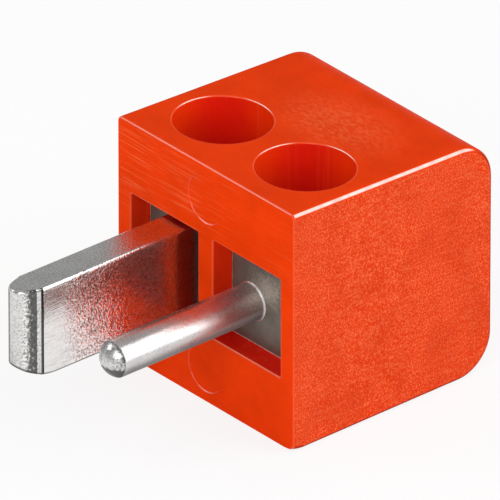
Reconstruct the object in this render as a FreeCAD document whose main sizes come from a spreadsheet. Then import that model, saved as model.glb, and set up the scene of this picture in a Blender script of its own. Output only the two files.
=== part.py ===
"""Two-pole loudspeaker plug with screw terminals: a moulded housing, a blade, a pin and two clamp screws.

Millimetres. X runs across the plug from the blade to the pin, Y runs back from the mating face to the
wire entries, Z is up. The origin is the middle of the mating face at the blade's mid-height.
"""
import FreeCAD, Part
import math
import os
import Sketcher
from FreeCAD import Vector

# Driving dimensions: name, value and what it measures
SIZES = [
    ("housing_width", 16.0, "housing across X at the mating face"),
    ("housing_height", 16.0, "housing from its flat bottom to its top at the mating face"),
    ("housing_depth", 15.6, "housing from the mating face to the back"),
    ("side_draft", 0.55, "mould draft of each side towards the back, degrees"),
    ("top_draft", 1.8, "fall of the top towards the back, degrees"),
    ("back_top_radius", 2.55, "rounding between the top and the back"),
    ("back_bottom_radius", 2.6, "rounding between the bottom and the back"),
    ("edge_radius", 0.35, "rounding round each side of the housing"),
    ("front_edge_radius", 0.14, "rounding of the edges of the mating face"),
    ("side_wall", 1.22, "moulding beside each chamber at the mating face"),
    ("chamber_height", 6.6, "each chamber from floor to ceiling"),
    ("chamber_corner_radius", 0.3, "rounding of a chamber's corners"),
    ("chamber_rim_radius", 0.1, "rounding of a chamber's mouth"),
    ("bar_width", 1.36, "bar between the two chambers"),
    ("floor_thickness", 4.62, "moulding below the chambers"),
    ("blade_seat_height", 3.38, "blade's mid-height above the chamber floor"),
    ("pin_seat_height", 2.85, "pin's axis above the chamber floor"),
    ("access_inset", 0.05, "screwdriver hole in the top inside each side of its chamber"),
    ("access_rim_radius", 0.12, "rounding of a screwdriver hole's mouth"),
    ("screw_setback", 4.54, "screw axis behind the mating face"),
    ("wire_entry_diameter", 4.0, "wire entry through the back of the housing"),
    ("wire_entry_lead", 0.6, "chamfer at the mouth of a wire entry"),
    ("ejector_mark_diameter", 3.2, "round mark left by an ejector pin"),
    ("ejector_mark_depth", 0.04, "depth of an ejector mark"),
    ("ejector_mark_height", 5.7, "ejector marks above and below the blade's mid-height"),
    ("block_recess", 1.38, "face of a terminal block behind the mating face"),
    ("block_depth", 6.5, "terminal block along Y"),
    ("block_side_clearance", 0.06, "gap between a block and each side of its chamber"),
    ("block_head_clearance", 0.12, "gap between a block and the ceiling of its chamber"),
    ("block_end_clearance", 0.15, "gap between a block and the back of its chamber"),
    ("block_edge_radius", 0.12, "rounding of a block's edges"),
    ("wire_hole_diameter", 3.0, "wire hole in a block"),
    ("wire_hole_depth", 5.8, "wire hole from the back of a block"),
    ("wire_hole_floor", 0.6, "metal below a wire hole"),
    ("tapped_hole_floor", 0.4, "metal below a tapped hole, which crosses the wire hole"),
    ("blade_inset", 0.93, "blade's middle plane inboard of the middle of its chamber"),
    ("blade_thickness", 2.2, "blade across X"),
    ("blade_height", 6.0, "blade from bottom to top"),
    ("blade_length", 11.05, "flat sides of the blade in front of the mating face"),
    ("blade_nose_length", 1.45, "blade's nose in front of its flat sides"),
    ("blade_nose_radius", 0.85, "rounding of the blade's nose in plan"),
    ("blade_edge_radius", 0.2, "rounding of the blade's four long edges"),
    ("tip_top_radius", 0.2, "rounding of the tip's upper corner in side view"),
    ("tip_top_length", 0.18, "how far the upper rounding goes back from the tip"),
    ("tip_bottom_radius", 4.3, "rounding of the tip's lower corner in side view"),
    ("tip_bottom_length", 2.6, "how far the lower rounding goes back from the tip"),
    ("pin_inset", 1.13, "pin's axis inboard of the middle of its chamber"),
    ("pin_diameter", 2.33, "pin's diameter"),
    ("pin_length", 9.22, "straight pin in front of the mating face"),
    ("pin_dome_length", 0.75, "domed nose of the pin"),
    ("screw_diameter", 3.9, "clamp screw over its thread"),
    ("screw_fit", 0.05, "radial running clearance of a screw in its tapped hole"),
    ("screw_length", 2.75, "clamp screw from slot face to tip"),
    ("screw_tip_gap", 0.1, "tip of a backed-off screw above the wire hole"),
    ("screw_tip_chamfer", 0.45, "chamfer of a screw's tip"),
    ("screw_head_chamfer", 0.25, "chamfer round a screw's slot face"),
    ("slot_width", 0.7, "screwdriver slot across"),
    ("slot_depth", 1.0, "screwdriver slot down"),
]

document = FreeCAD.newDocument("speaker_plug")
sheet = document.addObject("Spreadsheet::Sheet", "Sizes")
for row, (alias, amount, meaning) in enumerate(SIZES, start=1):
    sheet.set("A%d" % row, alias)
    sheet.set("B%d" % row, str(amount))
    sheet.set("C%d" % row, meaning)
    sheet.setAlias("B%d" % row, alias)
document.recompute()
size = {alias: float(sheet.get(alias)) for alias, amount, meaning in SIZES}


def value(expression):
    """What an expression on the sheet comes to, as a plain number."""
    return float(sheet.evalExpression(expression))


# Places worked out from the driving dimensions, as expressions on the sheet
CHAMBER_WIDTH = "((Sizes.housing_width - Sizes.bar_width) / 2 - Sizes.side_wall)"
CHAMBER_MIDDLE = "(Sizes.bar_width + " + CHAMBER_WIDTH + ") / 2"
ACCESS_DIAMETER = "(" + CHAMBER_WIDTH + " - 2 * Sizes.access_inset)"
BLADE_OFFSET = "(" + CHAMBER_MIDDLE + " - Sizes.blade_inset)"
PIN_OFFSET = "(" + CHAMBER_MIDDLE + " - Sizes.pin_inset)"
FLOOR_DROP = "Sizes.blade_seat_height"
BOTTOM_DROP = "(Sizes.blade_seat_height + Sizes.floor_thickness)"
TOP_RISE = "(Sizes.housing_height - Sizes.blade_seat_height - Sizes.floor_thickness)"
CEILING_RISE = "(Sizes.chamber_height - Sizes.blade_seat_height)"
BLOCK_BACK = "(Sizes.block_recess + Sizes.block_depth)"
CHAMBER_DEPTH = "(Sizes.block_recess + Sizes.block_depth + Sizes.block_end_clearance)"
BLOCK_WIDTH = "(" + CHAMBER_WIDTH + " - 2 * Sizes.block_side_clearance)"
BLOCK_HEIGHT = "(Sizes.chamber_height - Sizes.block_head_clearance)"
WIRE_AXIS_DROP = "(Sizes.blade_seat_height - Sizes.wire_hole_floor - Sizes.wire_hole_diameter / 2)"
SIDE_NARROWING = "Sizes.housing_depth * tan(Sizes.side_draft * 1deg)"
BLADE_REACH = "(Sizes.blade_length + Sizes.blade_nose_length)"
CONTACT_ROOT = "(Sizes.block_recess + 2 * Sizes.block_edge_radius)"

# The same places as numbers, for choosing edges and first guesses
chamber_middle = value(CHAMBER_MIDDLE)
floor_level = -value(FLOOR_DROP)
bottom_level = -value(BOTTOM_DROP)
top_level = value(TOP_RISE)
ceiling_level = value(CEILING_RISE)
NEAR = 1e-4
ORIGIN = -1
ROOT = 1


def new_body(label):
    """A body with the label that names its file."""
    body = document.addObject("PartDesign::Body", label)
    body.Label = label
    return body


def origin_plane(body, role):
    """The body's own origin plane of that role."""
    return next(item for item in body.Origin.OriginFeatures if item.Role == role)


def new_sketch(body, name, role, shift=None, across=None, up=None):
    """A sketch on an origin plane, moved along its normal by shift and within it by across and up."""
    sketch = body.newObject("Sketcher::SketchObject", name)
    sketch.AttachmentSupport = [(origin_plane(body, role), "")]
    sketch.MapMode = "FlatFace"
    for axis, expression in (("x", across), ("y", up), ("z", shift)):
        if expression:
            sketch.setExpression("AttachmentOffset.Base." + axis, expression)
    return sketch


def measure(sketch, kind, first, first_end, second, second_end, expression):
    """A signed distance between two points of a sketch, bound to the sheet."""
    drawn = sketch.getPoint(second, second_end) - sketch.getPoint(first, first_end)
    amount = drawn.x if kind == "DistanceX" else drawn.y
    index = sketch.addConstraint(
        Sketcher.Constraint(kind, first, first_end, second, second_end, amount))
    sketch.setExpression("Constraints[%d]" % index, expression)


def add_arc(sketch, centre, radius, start, end):
    """An arc drawn anticlockwise from one angle to another, in radians."""
    return sketch.addGeometry(
        Part.ArcOfCircle(Part.Circle(centre, Vector(0, 0, 1), radius), start, end))


def draw_rectangle(sketch, left, bottom, width, height):
    """An upright rectangle: left and bottom are its drops below the sketch origin."""
    corners = [Vector(-1, -1, 0), Vector(1, -1, 0), Vector(1, 1, 0), Vector(-1, 1, 0)]
    first = None
    for start, end in zip(corners, corners[1:] + corners[:1]):
        index = sketch.addGeometry(Part.LineSegment(start, end))
        first = index if first is None else first
    for side in range(4):
        sketch.addConstraint(
            Sketcher.Constraint("Coincident", first + side, 2, first + (side + 1) % 4, 1))
        direction = "Horizontal" if side % 2 == 0 else "Vertical"
        sketch.addConstraint(Sketcher.Constraint(direction, first + side))
    measure(sketch, "DistanceX", first, 1, ORIGIN, ROOT, left)
    measure(sketch, "DistanceY", first, 1, ORIGIN, ROOT, bottom)
    measure(sketch, "DistanceX", first, 1, first, 2, width)
    measure(sketch, "DistanceY", first + 1, 1, first + 1, 2, height)


def draw_rounded_rectangle(sketch, left, bottom, width, height, radius):
    """An upright rectangle with round corners, placed like draw_rectangle's."""
    corner = value(radius)
    low = Vector(corner - value(left), corner - value(bottom), 0)
    high = low + Vector(value(width) - 2 * corner, value(height) - 2 * corner, 0)
    centres = [high, Vector(low.x, high.y, 0), low, Vector(high.x, low.y, 0)]
    arcs = [add_arc(sketch, centre, corner, turn * math.pi / 2, (turn + 1) * math.pi / 2)
            for turn, centre in enumerate(centres)]
    lines = []
    for turn, arc in enumerate(arcs):
        following = arcs[(turn + 1) % 4]
        line = sketch.addGeometry(Part.LineSegment(sketch.getPoint(arc, 2), sketch.getPoint(following, 1)))
        sketch.addConstraint(Sketcher.Constraint("Tangent", arc, 2, line, 1))
        sketch.addConstraint(Sketcher.Constraint("Tangent", line, 2, following, 1))
        sketch.addConstraint(Sketcher.Constraint("Horizontal" if turn % 2 == 0 else "Vertical", line))
        lines.append(line)
    for arc in arcs[1:]:
        sketch.addConstraint(Sketcher.Constraint("Equal", arcs[0], arc))
    index = sketch.addConstraint(Sketcher.Constraint("Radius", arcs[0], corner))
    sketch.setExpression("Constraints[%d]" % index, radius)
    top, left_side, floor, right_side = lines
    measure(sketch, "DistanceX", left_side, 1, ORIGIN, ROOT, left)
    measure(sketch, "DistanceY", floor, 1, ORIGIN, ROOT, bottom)
    measure(sketch, "DistanceX", left_side, 1, right_side, 1, width)
    measure(sketch, "DistanceY", floor, 1, top, 1, height)


def draw_circle(sketch, diameter):
    """A circle on the sketch origin."""
    circle = sketch.addGeometry(Part.Circle(Vector(0, 0, 0), Vector(0, 0, 1), 1))
    sketch.addConstraint(Sketcher.Constraint("Coincident", circle, 3, ORIGIN, ROOT))
    index = sketch.addConstraint(Sketcher.Constraint("Diameter", circle, 1.0))
    sketch.setExpression("Constraints[%d]" % index, diameter)


def extrude(body, kind, name, sketch, length, reverse=False, midplane=False):
    """A pad or pocket of one length."""
    feature = body.newObject("PartDesign::" + kind, name)
    feature.Profile = sketch
    feature.Reversed = reverse
    feature.Midplane = midplane
    feature.setExpression("Length", length)
    document.recompute()
    return feature


def edges_where(feature, test):
    """The names of a feature's edges that pass the test, which gets each edge and its middle point."""
    names = []
    for number, edge in enumerate(feature.Shape.Edges, start=1):
        middle = edge.valueAt((edge.FirstParameter + edge.LastParameter) / 2)
        if test(edge, middle):
            names.append("Edge%d" % number)
    return names


def dress(body, kind, name, base, edge_names, amount):
    """A fillet or chamfer of one size on chosen edges."""
    if not edge_names:
        raise ValueError(name + " found no edge")
    feature = body.newObject("PartDesign::" + kind, name)
    feature.Base = (base, edge_names)
    feature.setExpression("Radius" if kind == "Fillet" else "Size", amount)
    document.recompute()
    return feature


def mirror(body, name, features):
    """Repeats features on the other side of the plug's middle plane."""
    feature = body.newObject("PartDesign::Mirrored", name)
    feature.Originals = features
    feature.MirrorPlane = (origin_plane(body, "YZ_Plane"), [""])
    body.Tip = feature
    document.recompute()
    return feature


def draw_wedge(sketch):
    """What a drafted side loses, in plan: nothing at the mating face and most at the back."""
    side = size["housing_width"] / 2
    depth = size["housing_depth"]
    inner = side - depth * math.tan(math.radians(size["side_draft"]))
    points = [Vector(side, 0, 0), Vector(2 * side, 0, 0), Vector(2 * side, depth, 0),
              Vector(inner, depth, 0)]
    lines = [sketch.addGeometry(Part.LineSegment(start, end))
             for start, end in zip(points, points[1:] + points[:1])]
    for number, line in enumerate(lines):
        sketch.addConstraint(
            Sketcher.Constraint("Coincident", line, 2, lines[(number + 1) % len(lines)], 1))
    sketch.addConstraint(Sketcher.Constraint("Horizontal", lines[0]))
    sketch.addConstraint(Sketcher.Constraint("Vertical", lines[1]))
    sketch.addConstraint(Sketcher.Constraint("Horizontal", lines[2]))
    sketch.addConstraint(Sketcher.Constraint("PointOnObject", lines[0], 1, -1))
    measure(sketch, "DistanceX", ORIGIN, ROOT, lines[0], 1, "Sizes.housing_width / 2")
    measure(sketch, "DistanceX", ORIGIN, ROOT, lines[1], 1, "Sizes.housing_width")
    measure(sketch, "DistanceY", ORIGIN, ROOT, lines[2], 1, "Sizes.housing_depth")
    measure(sketch, "DistanceX", ORIGIN, ROOT, lines[3], 1,
            "Sizes.housing_width / 2 - " + SIDE_NARROWING)


def draw_side_view(sketch, slope):
    """The housing in side view: front, top, rounded back corners and bottom."""
    depth = size["housing_depth"]
    top_radius = size["back_top_radius"]
    bottom_radius = size["back_bottom_radius"]
    back_top = top_level - depth * math.tan(slope)
    # The upper arc touches the sloping top, whose tangent point lies a little further back
    reach = top_radius * math.tan((math.pi / 2 - slope) / 2)
    on_top = Vector(depth - reach * math.cos(slope), back_top + reach * math.sin(slope), 0)
    centre = Vector(depth - top_radius, back_top - reach, 0)
    heel_centre = Vector(depth - bottom_radius, bottom_level + bottom_radius, 0)
    front = sketch.addGeometry(Part.LineSegment(Vector(0, bottom_level, 0), Vector(0, top_level, 0)))
    top = sketch.addGeometry(Part.LineSegment(Vector(0, top_level, 0), on_top))
    upper = add_arc(sketch, centre, top_radius, 0, math.pi / 2 - slope)
    back = sketch.addGeometry(Part.LineSegment(Vector(depth, centre.y, 0),
                                               Vector(depth, heel_centre.y, 0)))
    lower = add_arc(sketch, heel_centre, bottom_radius, -math.pi / 2, 0)
    bottom = sketch.addGeometry(Part.LineSegment(Vector(heel_centre.x, bottom_level, 0),
                                                 Vector(0, bottom_level, 0)))
    sketch.addConstraint(Sketcher.Constraint("Coincident", front, 2, top, 1))
    sketch.addConstraint(Sketcher.Constraint("Tangent", top, 2, upper, 2))
    sketch.addConstraint(Sketcher.Constraint("Tangent", upper, 1, back, 1))
    sketch.addConstraint(Sketcher.Constraint("Tangent", back, 2, lower, 2))
    sketch.addConstraint(Sketcher.Constraint("Tangent", lower, 1, bottom, 1))
    sketch.addConstraint(Sketcher.Constraint("Coincident", bottom, 2, front, 1))
    sketch.addConstraint(Sketcher.Constraint("Vertical", front))
    sketch.addConstraint(Sketcher.Constraint("Vertical", back))
    sketch.addConstraint(Sketcher.Constraint("Horizontal", bottom))
    sketch.addConstraint(Sketcher.Constraint("PointOnObject", front, 1, -2))
    measure(sketch, "DistanceY", front, 1, ORIGIN, ROOT, BOTTOM_DROP)
    measure(sketch, "DistanceY", front, 1, front, 2, "Sizes.housing_height")
    measure(sketch, "DistanceX", ORIGIN, ROOT, back, 1, "Sizes.housing_depth")
    for arc, radius, key in ((upper, top_radius, "back_top_radius"),
                             (lower, bottom_radius, "back_bottom_radius")):
        index = sketch.addConstraint(Sketcher.Constraint("Radius", arc, radius))
        sketch.setExpression("Constraints[%d]" % index, "Sizes." + key)
    index = sketch.addConstraint(Sketcher.Constraint("Angle", top, 1, ORIGIN, 1, slope))
    sketch.setExpression("Constraints[%d]" % index, "Sizes.top_draft * 1deg")


def build_housing():
    """One moulding: a drafted block with two chambers, two screwdriver holes and two wire entries."""
    body = new_body("housing")
    depth = size["housing_depth"]

    # Side view: flat bottom, top falling towards the back, both back corners well rounded
    slope = math.radians(size["top_draft"])
    side_view = new_sketch(body, "side_view", "YZ_Plane")
    draw_side_view(side_view, slope)
    extrude(body, "Pad", "slab", side_view, "Sizes.housing_width", midplane=True)

    # Each side leans in towards the back
    wedge_plan = new_sketch(body, "side_wedge", "XY_Plane")
    draw_wedge(wedge_plan)
    wedge = extrude(body, "Pocket", "side_draft_cut", wedge_plan, "4 * Sizes.housing_height",
                    midplane=True)
    rounded = mirror(body, "side_drafts", [wedge])

    # Each side face keeps one small rounding all the way from its top front to its bottom front
    def on_side_outline(edge, middle):
        side = size["housing_width"] / 2 - middle.y * math.tan(math.radians(size["side_draft"]))
        return abs(abs(middle.x) - side) < NEAR and middle.y > NEAR

    rounded = dress(body, "Fillet", "side_rounding", rounded,
                    edges_where(rounded, on_side_outline), "Sizes.edge_radius")
    rounded = dress(body, "Fillet", "front_rounding", rounded,
                    edges_where(rounded, lambda edge, middle: abs(middle.y) < NEAR),
                    "Sizes.front_edge_radius")

    # The chamber of the pin, its screwdriver hole and its wire entry
    mouth = new_sketch(body, "chamber_mouth", "XZ_Plane")
    draw_rounded_rectangle(mouth, "-Sizes.bar_width / 2", FLOOR_DROP, CHAMBER_WIDTH,
                           "Sizes.chamber_height", "Sizes.chamber_corner_radius")
    chamber = extrude(body, "Pocket", "chamber", mouth, CHAMBER_DEPTH)
    access = new_sketch(body, "access_mouth", "XY_Plane", shift=TOP_RISE,
                        across=CHAMBER_MIDDLE, up="Sizes.screw_setback")
    draw_circle(access, ACCESS_DIAMETER)
    access_hole = extrude(body, "Pocket", "access_hole", access,
                          TOP_RISE + " - " + CEILING_RISE + " + Sizes.chamber_height / 4")
    entry = new_sketch(body, "wire_entry_mouth", "XZ_Plane", shift="-Sizes.housing_depth",
                       across=CHAMBER_MIDDLE, up="-" + WIRE_AXIS_DROP)
    draw_circle(entry, "Sizes.wire_entry_diameter")
    wire_entry = extrude(body, "Pocket", "wire_entry", entry,
                         "Sizes.housing_depth - " + CHAMBER_DEPTH + " + Sizes.block_depth / 4",
                         reverse=True)

    # The blade's half is the same, mirrored about the middle plane
    halves = mirror(body, "both_halves", [chamber, access_hole, wire_entry])

    # The mouths of every opening
    chamber_sides = [size["bar_width"] / 2, size["bar_width"] / 2 + value(CHAMBER_WIDTH)]
    access_radius = value(ACCESS_DIAMETER) / 2

    def on_chamber_rim(edge, middle):
        return (abs(middle.y) < NEAR
                and chamber_sides[0] - NEAR < abs(middle.x) < chamber_sides[1] + NEAR
                and floor_level - NEAR < middle.z < ceiling_level + NEAR)

    eased = dress(body, "Fillet", "chamber_rims", halves,
                  edges_where(halves, on_chamber_rim), "Sizes.chamber_rim_radius")

    def on_access_rim(edge, middle):
        from_axis = math.hypot(abs(middle.x) - chamber_middle, middle.y - size["screw_setback"])
        above_chamber = middle.z > (ceiling_level + top_level) / 2
        return abs(from_axis - access_radius) < NEAR and above_chamber

    eased = dress(body, "Fillet", "access_rims", eased,
                  edges_where(eased, on_access_rim), "Sizes.access_rim_radius")
    eased = dress(body, "Chamfer", "wire_entry_leads", eased,
                  edges_where(eased, lambda edge, middle: edge.Curve.TypeId == "Part::GeomCircle"
                              and abs(middle.y - depth) < NEAR
                              and edge.BoundBox.ZLength > size["wire_entry_diameter"] / 4),
                  "Sizes.wire_entry_lead")

    # Two shallow round marks that the ejector pins left in the mating face
    marks = new_sketch(body, "ejector_mark_outline", "XZ_Plane", up="Sizes.ejector_mark_height")
    draw_circle(marks, "Sizes.ejector_mark_diameter")
    upper = extrude(body, "Pocket", "upper_ejector_mark", marks, "Sizes.ejector_mark_depth")
    below = new_sketch(body, "lower_mark_outline", "XZ_Plane", up="-Sizes.ejector_mark_height")
    draw_circle(below, "Sizes.ejector_mark_diameter")
    extrude(body, "Pocket", "lower_ejector_mark", below, "Sizes.ejector_mark_depth")
    return body


def build_block(body, side):
    """The terminal block of a contact, on the blade's side (-1) or the pin's side (+1)."""
    outline = new_sketch(body, "block_outline", "XZ_Plane", shift="-Sizes.block_recess")
    near_side = "Sizes.bar_width / 2 + Sizes.block_side_clearance"
    left = "-(" + near_side + ")" if side > 0 else near_side + " + " + BLOCK_WIDTH
    draw_rectangle(outline, left, FLOOR_DROP, BLOCK_WIDTH, BLOCK_HEIGHT)
    block = extrude(body, "Pad", "block", outline, "Sizes.block_depth", reverse=True)
    dress(body, "Fillet", "block_edges", block, edges_where(block, lambda edge, middle: True),
          "Sizes.block_edge_radius")

    place = ("" if side > 0 else "-") + CHAMBER_MIDDLE
    tapped = new_sketch(body, "tapped_hole_mouth", "XY_Plane",
                        shift=BLOCK_HEIGHT + " - Sizes.blade_seat_height",
                        across=place, up="Sizes.screw_setback")
    draw_circle(tapped, "Sizes.screw_diameter + 2 * Sizes.screw_fit")
    extrude(body, "Pocket", "tapped_hole", tapped, BLOCK_HEIGHT + " - Sizes.tapped_hole_floor")
    wire = new_sketch(body, "wire_hole_mouth", "XZ_Plane", shift="-" + BLOCK_BACK,
                      across=place, up="-" + WIRE_AXIS_DROP)
    draw_circle(wire, "Sizes.wire_hole_diameter")
    extrude(body, "Pocket", "wire_hole", wire, "Sizes.wire_hole_depth", reverse=True)


def build_blade_contact():
    """The flat blade and its terminal block, one plated casting."""
    body = new_body("blade_contact")
    build_block(body, -1)
    section = new_sketch(body, "blade_section", "XZ_Plane", shift="-" + CONTACT_ROOT)
    draw_rounded_rectangle(section, BLADE_OFFSET + " + Sizes.blade_thickness / 2",
                           "Sizes.blade_height / 2", "Sizes.blade_thickness", "Sizes.blade_height",
                           "Sizes.blade_edge_radius")
    extrude(body, "Pad", "blade", section, CONTACT_ROOT + " + " + BLADE_REACH)
    cut_nose(body)
    cut_tip_corner(body, "top", 1)
    cut_tip_corner(body, "bottom", -1)
    return body


def cut_nose(body):
    """Cuts the blade's tip in plan to a lead-in taper on each side and a round nose."""
    half = size["blade_thickness"] / 2
    wide = size["blade_thickness"]
    shelf = -size["blade_length"]
    radius = size["blade_nose_radius"]
    far = -value(BLADE_REACH) - wide
    centre = Vector(0, radius - value(BLADE_REACH), 0)
    # Each taper touches the nose where the line from its start is square to the nose's radius
    to_centre = math.hypot(half, shelf - centre.y)
    lean = math.acos(min(radius / to_centre, 1.0)) - math.atan2(shelf - centre.y, half)
    touch = centre + Vector(radius * math.cos(lean), -radius * math.sin(lean), 0)
    points = [touch, Vector(half, shelf, 0), Vector(wide, shelf, 0), Vector(wide, far, 0),
              Vector(-wide, far, 0), Vector(-wide, shelf, 0), Vector(-half, shelf, 0),
              Vector(-touch.x, touch.y, 0)]
    plan = new_sketch(body, "nose_plan", "XY_Plane", across="-" + BLADE_OFFSET)
    nose = add_arc(plan, centre, radius, math.pi + lean, 2 * math.pi - lean)
    lines = [plan.addGeometry(Part.LineSegment(start, end)) for start, end in zip(points, points[1:])]
    for line, following in zip(lines, lines[1:]):
        plan.addConstraint(Sketcher.Constraint("Coincident", line, 2, following, 1))
    right_taper, right_shelf, right_wall, front, left_wall, left_shelf, left_taper = lines
    plan.addConstraint(Sketcher.Constraint("Tangent", nose, 2, right_taper, 1))
    plan.addConstraint(Sketcher.Constraint("Tangent", left_taper, 2, nose, 1))
    for line in (right_shelf, front, left_shelf):
        plan.addConstraint(Sketcher.Constraint("Horizontal", line))
    for line in (right_wall, left_wall):
        plan.addConstraint(Sketcher.Constraint("Vertical", line))
    plan.addConstraint(Sketcher.Constraint("PointOnObject", nose, 3, -2))
    measure(plan, "DistanceX", ORIGIN, ROOT, right_shelf, 1, "Sizes.blade_thickness / 2")
    measure(plan, "DistanceX", left_shelf, 2, ORIGIN, ROOT, "Sizes.blade_thickness / 2")
    measure(plan, "DistanceX", ORIGIN, ROOT, right_wall, 1, "Sizes.blade_thickness")
    measure(plan, "DistanceX", left_wall, 1, ORIGIN, ROOT, "Sizes.blade_thickness")
    measure(plan, "DistanceY", right_shelf, 1, ORIGIN, ROOT, "Sizes.blade_length")
    measure(plan, "DistanceY", left_shelf, 1, ORIGIN, ROOT, "Sizes.blade_length")
    measure(plan, "DistanceY", front, 1, ORIGIN, ROOT, BLADE_REACH + " + Sizes.blade_thickness")
    measure(plan, "DistanceY", nose, 3, ORIGIN, ROOT, BLADE_REACH + " - Sizes.blade_nose_radius")
    index = plan.addConstraint(Sketcher.Constraint("Radius", nose, radius))
    plan.setExpression("Constraints[%d]" % index, "Sizes.blade_nose_radius")
    return extrude(body, "Pocket", "nose", plan, "2 * Sizes.blade_height", midplane=True)


def cut_tip_corner(body, name, up):
    """Rounds the top (up = 1) or bottom (up = -1) of the blade's tip, in side view."""
    radius_key, length_key = "tip_%s_radius" % name, "tip_%s_length" % name
    radius = size[radius_key]
    length = min(size[length_key], radius)
    far = -value(BLADE_REACH)
    level = up * size["blade_height"] / 2
    margin = size["blade_thickness"]
    centre = Vector(far + length, level - up * radius, 0)
    drop = math.acos(length / radius)
    start, end = (math.pi / 2, math.pi - drop) if up > 0 else (math.pi + drop, 3 * math.pi / 2)
    side = new_sketch(body, "tip_%s_outline" % name, "YZ_Plane")
    arc = add_arc(side, centre, radius, start, end)
    arc_level, arc_front = (1, 2) if up > 0 else (2, 1)
    on_front = side.getPoint(arc, arc_front)
    points = [side.getPoint(arc, arc_level), Vector(centre.x, level + up * margin, 0),
              Vector(far - margin, level + up * margin, 0), Vector(far - margin, on_front.y, 0), on_front]
    lines = [side.addGeometry(Part.LineSegment(first, second))
             for first, second in zip(points, points[1:])]
    side.addConstraint(Sketcher.Constraint("Coincident", arc, arc_level, lines[0], 1))
    for line, following in zip(lines, lines[1:]):
        side.addConstraint(Sketcher.Constraint("Coincident", line, 2, following, 1))
    side.addConstraint(Sketcher.Constraint("Coincident", lines[3], 2, arc, arc_front))
    for line, direction in zip(lines, ("Vertical", "Horizontal", "Vertical", "Horizontal")):
        side.addConstraint(Sketcher.Constraint(direction, line))
    index = side.addConstraint(Sketcher.Constraint("Radius", arc, radius))
    side.setExpression("Constraints[%d]" % index, "Sizes." + radius_key)
    measure(side, "DistanceX", arc, 3, ORIGIN, ROOT, BLADE_REACH + " - Sizes." + length_key)
    measure(side, "DistanceX", arc, arc_level, ORIGIN, ROOT, BLADE_REACH + " - Sizes." + length_key)
    measure(side, "DistanceX", arc, arc_front, ORIGIN, ROOT, BLADE_REACH)
    rise = (ORIGIN, ROOT, arc, arc_level) if up > 0 else (arc, arc_level, ORIGIN, ROOT)
    measure(side, "DistanceY", *rise, "Sizes.blade_height / 2")
    clear = (lines[0], 1, lines[0], 2) if up > 0 else (lines[0], 2, lines[0], 1)
    measure(side, "DistanceY", *clear, "Sizes.blade_thickness")
    measure(side, "DistanceX", lines[1], 2, ORIGIN, ROOT, BLADE_REACH + " + Sizes.blade_thickness")
    return extrude(body, "Pocket", "tip_%s_rounding" % name, side,
                   "2 * " + BLADE_OFFSET + " + 2 * Sizes.blade_thickness", midplane=True)


def build_pin_contact():
    """The round pin and its terminal block, one plated piece."""
    body = new_body("pin_contact")
    build_block(body, 1)

    radius = size["pin_diameter"] / 2
    reach = size["pin_length"]
    root = value(CONTACT_ROOT)
    dome = size["pin_dome_length"]
    cap = (radius ** 2 + dome ** 2) / (2 * dome)
    tip = Vector(0, -reach - dome, 0)
    edge_angle = math.asin(min(radius / cap, 1.0))
    profile = new_sketch(body, "pin_profile", "XY_Plane", across=PIN_OFFSET,
                         shift="Sizes.pin_seat_height - Sizes.blade_seat_height")
    side = profile.addGeometry(Part.LineSegment(Vector(radius, root, 0), Vector(radius, -reach, 0)))
    nose = add_arc(profile, Vector(0, tip.y + cap, 0), cap, -math.pi / 2, edge_angle - math.pi / 2)
    axis = profile.addGeometry(Part.LineSegment(tip, Vector(0, root, 0)))
    end = profile.addGeometry(Part.LineSegment(Vector(0, root, 0), Vector(radius, root, 0)))
    for pair in ((side, 2, nose, 2), (nose, 1, axis, 1),
                 (axis, 2, end, 1), (end, 2, side, 1)):
        profile.addConstraint(Sketcher.Constraint("Coincident", *pair))
    profile.addConstraint(Sketcher.Constraint("Vertical", side))
    profile.addConstraint(Sketcher.Constraint("Vertical", axis))
    profile.addConstraint(Sketcher.Constraint("Horizontal", end))
    profile.addConstraint(Sketcher.Constraint("PointOnObject", axis, 2, -2))
    profile.addConstraint(Sketcher.Constraint("PointOnObject", nose, 3, -2))
    measure(profile, "DistanceX", ORIGIN, ROOT, side, 1, "Sizes.pin_diameter / 2")
    measure(profile, "DistanceY", ORIGIN, ROOT, side, 1, CONTACT_ROOT)
    measure(profile, "DistanceY", side, 2, ORIGIN, ROOT, "Sizes.pin_length")
    measure(profile, "DistanceY", nose, 1, ORIGIN, ROOT,
            "Sizes.pin_length + Sizes.pin_dome_length")
    pin = body.newObject("PartDesign::Revolution", "pin")
    pin.Profile = profile
    pin.ReferenceAxis = (profile, ["V_Axis"])
    pin.Angle = 360
    document.recompute()
    return body


def build_clamp_screw(label, side):
    """A slotted clamp screw without a head, backed off so that a wire can go in below it."""
    body = new_body(label)
    outline = new_sketch(body, "shank_outline", "XY_Plane")
    draw_circle(outline, "Sizes.screw_diameter")
    shank = extrude(body, "Pad", "shank", outline, "Sizes.screw_length")
    tip = dress(body, "Chamfer", "tip_chamfer", shank,
                edges_where(shank, lambda edge, middle: edge.Curve.TypeId == "Part::GeomCircle"
                            and middle.z < NEAR), "Sizes.screw_tip_chamfer")
    head = dress(body, "Chamfer", "head_chamfer", tip,
                 edges_where(tip, lambda edge, middle: edge.Curve.TypeId == "Part::GeomCircle"
                             and middle.z > size["screw_length"] - NEAR), "Sizes.screw_head_chamfer")
    slot = new_sketch(body, "slot_outline", "XY_Plane", shift="Sizes.screw_length")
    draw_rectangle(slot, "Sizes.screw_diameter", "Sizes.slot_width / 2",
                   "2 * Sizes.screw_diameter", "Sizes.slot_width")
    extrude(body, "Pocket", "slot", slot, "Sizes.slot_depth")
    body.setExpression("Placement.Base.x", ("" if side > 0 else "-") + CHAMBER_MIDDLE)
    body.setExpression("Placement.Base.y", "Sizes.screw_setback")
    body.setExpression("Placement.Base.z",
                       "Sizes.wire_hole_floor + Sizes.wire_hole_diameter + Sizes.screw_tip_gap"
                       " - Sizes.blade_seat_height")
    document.recompute()
    return body


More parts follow.
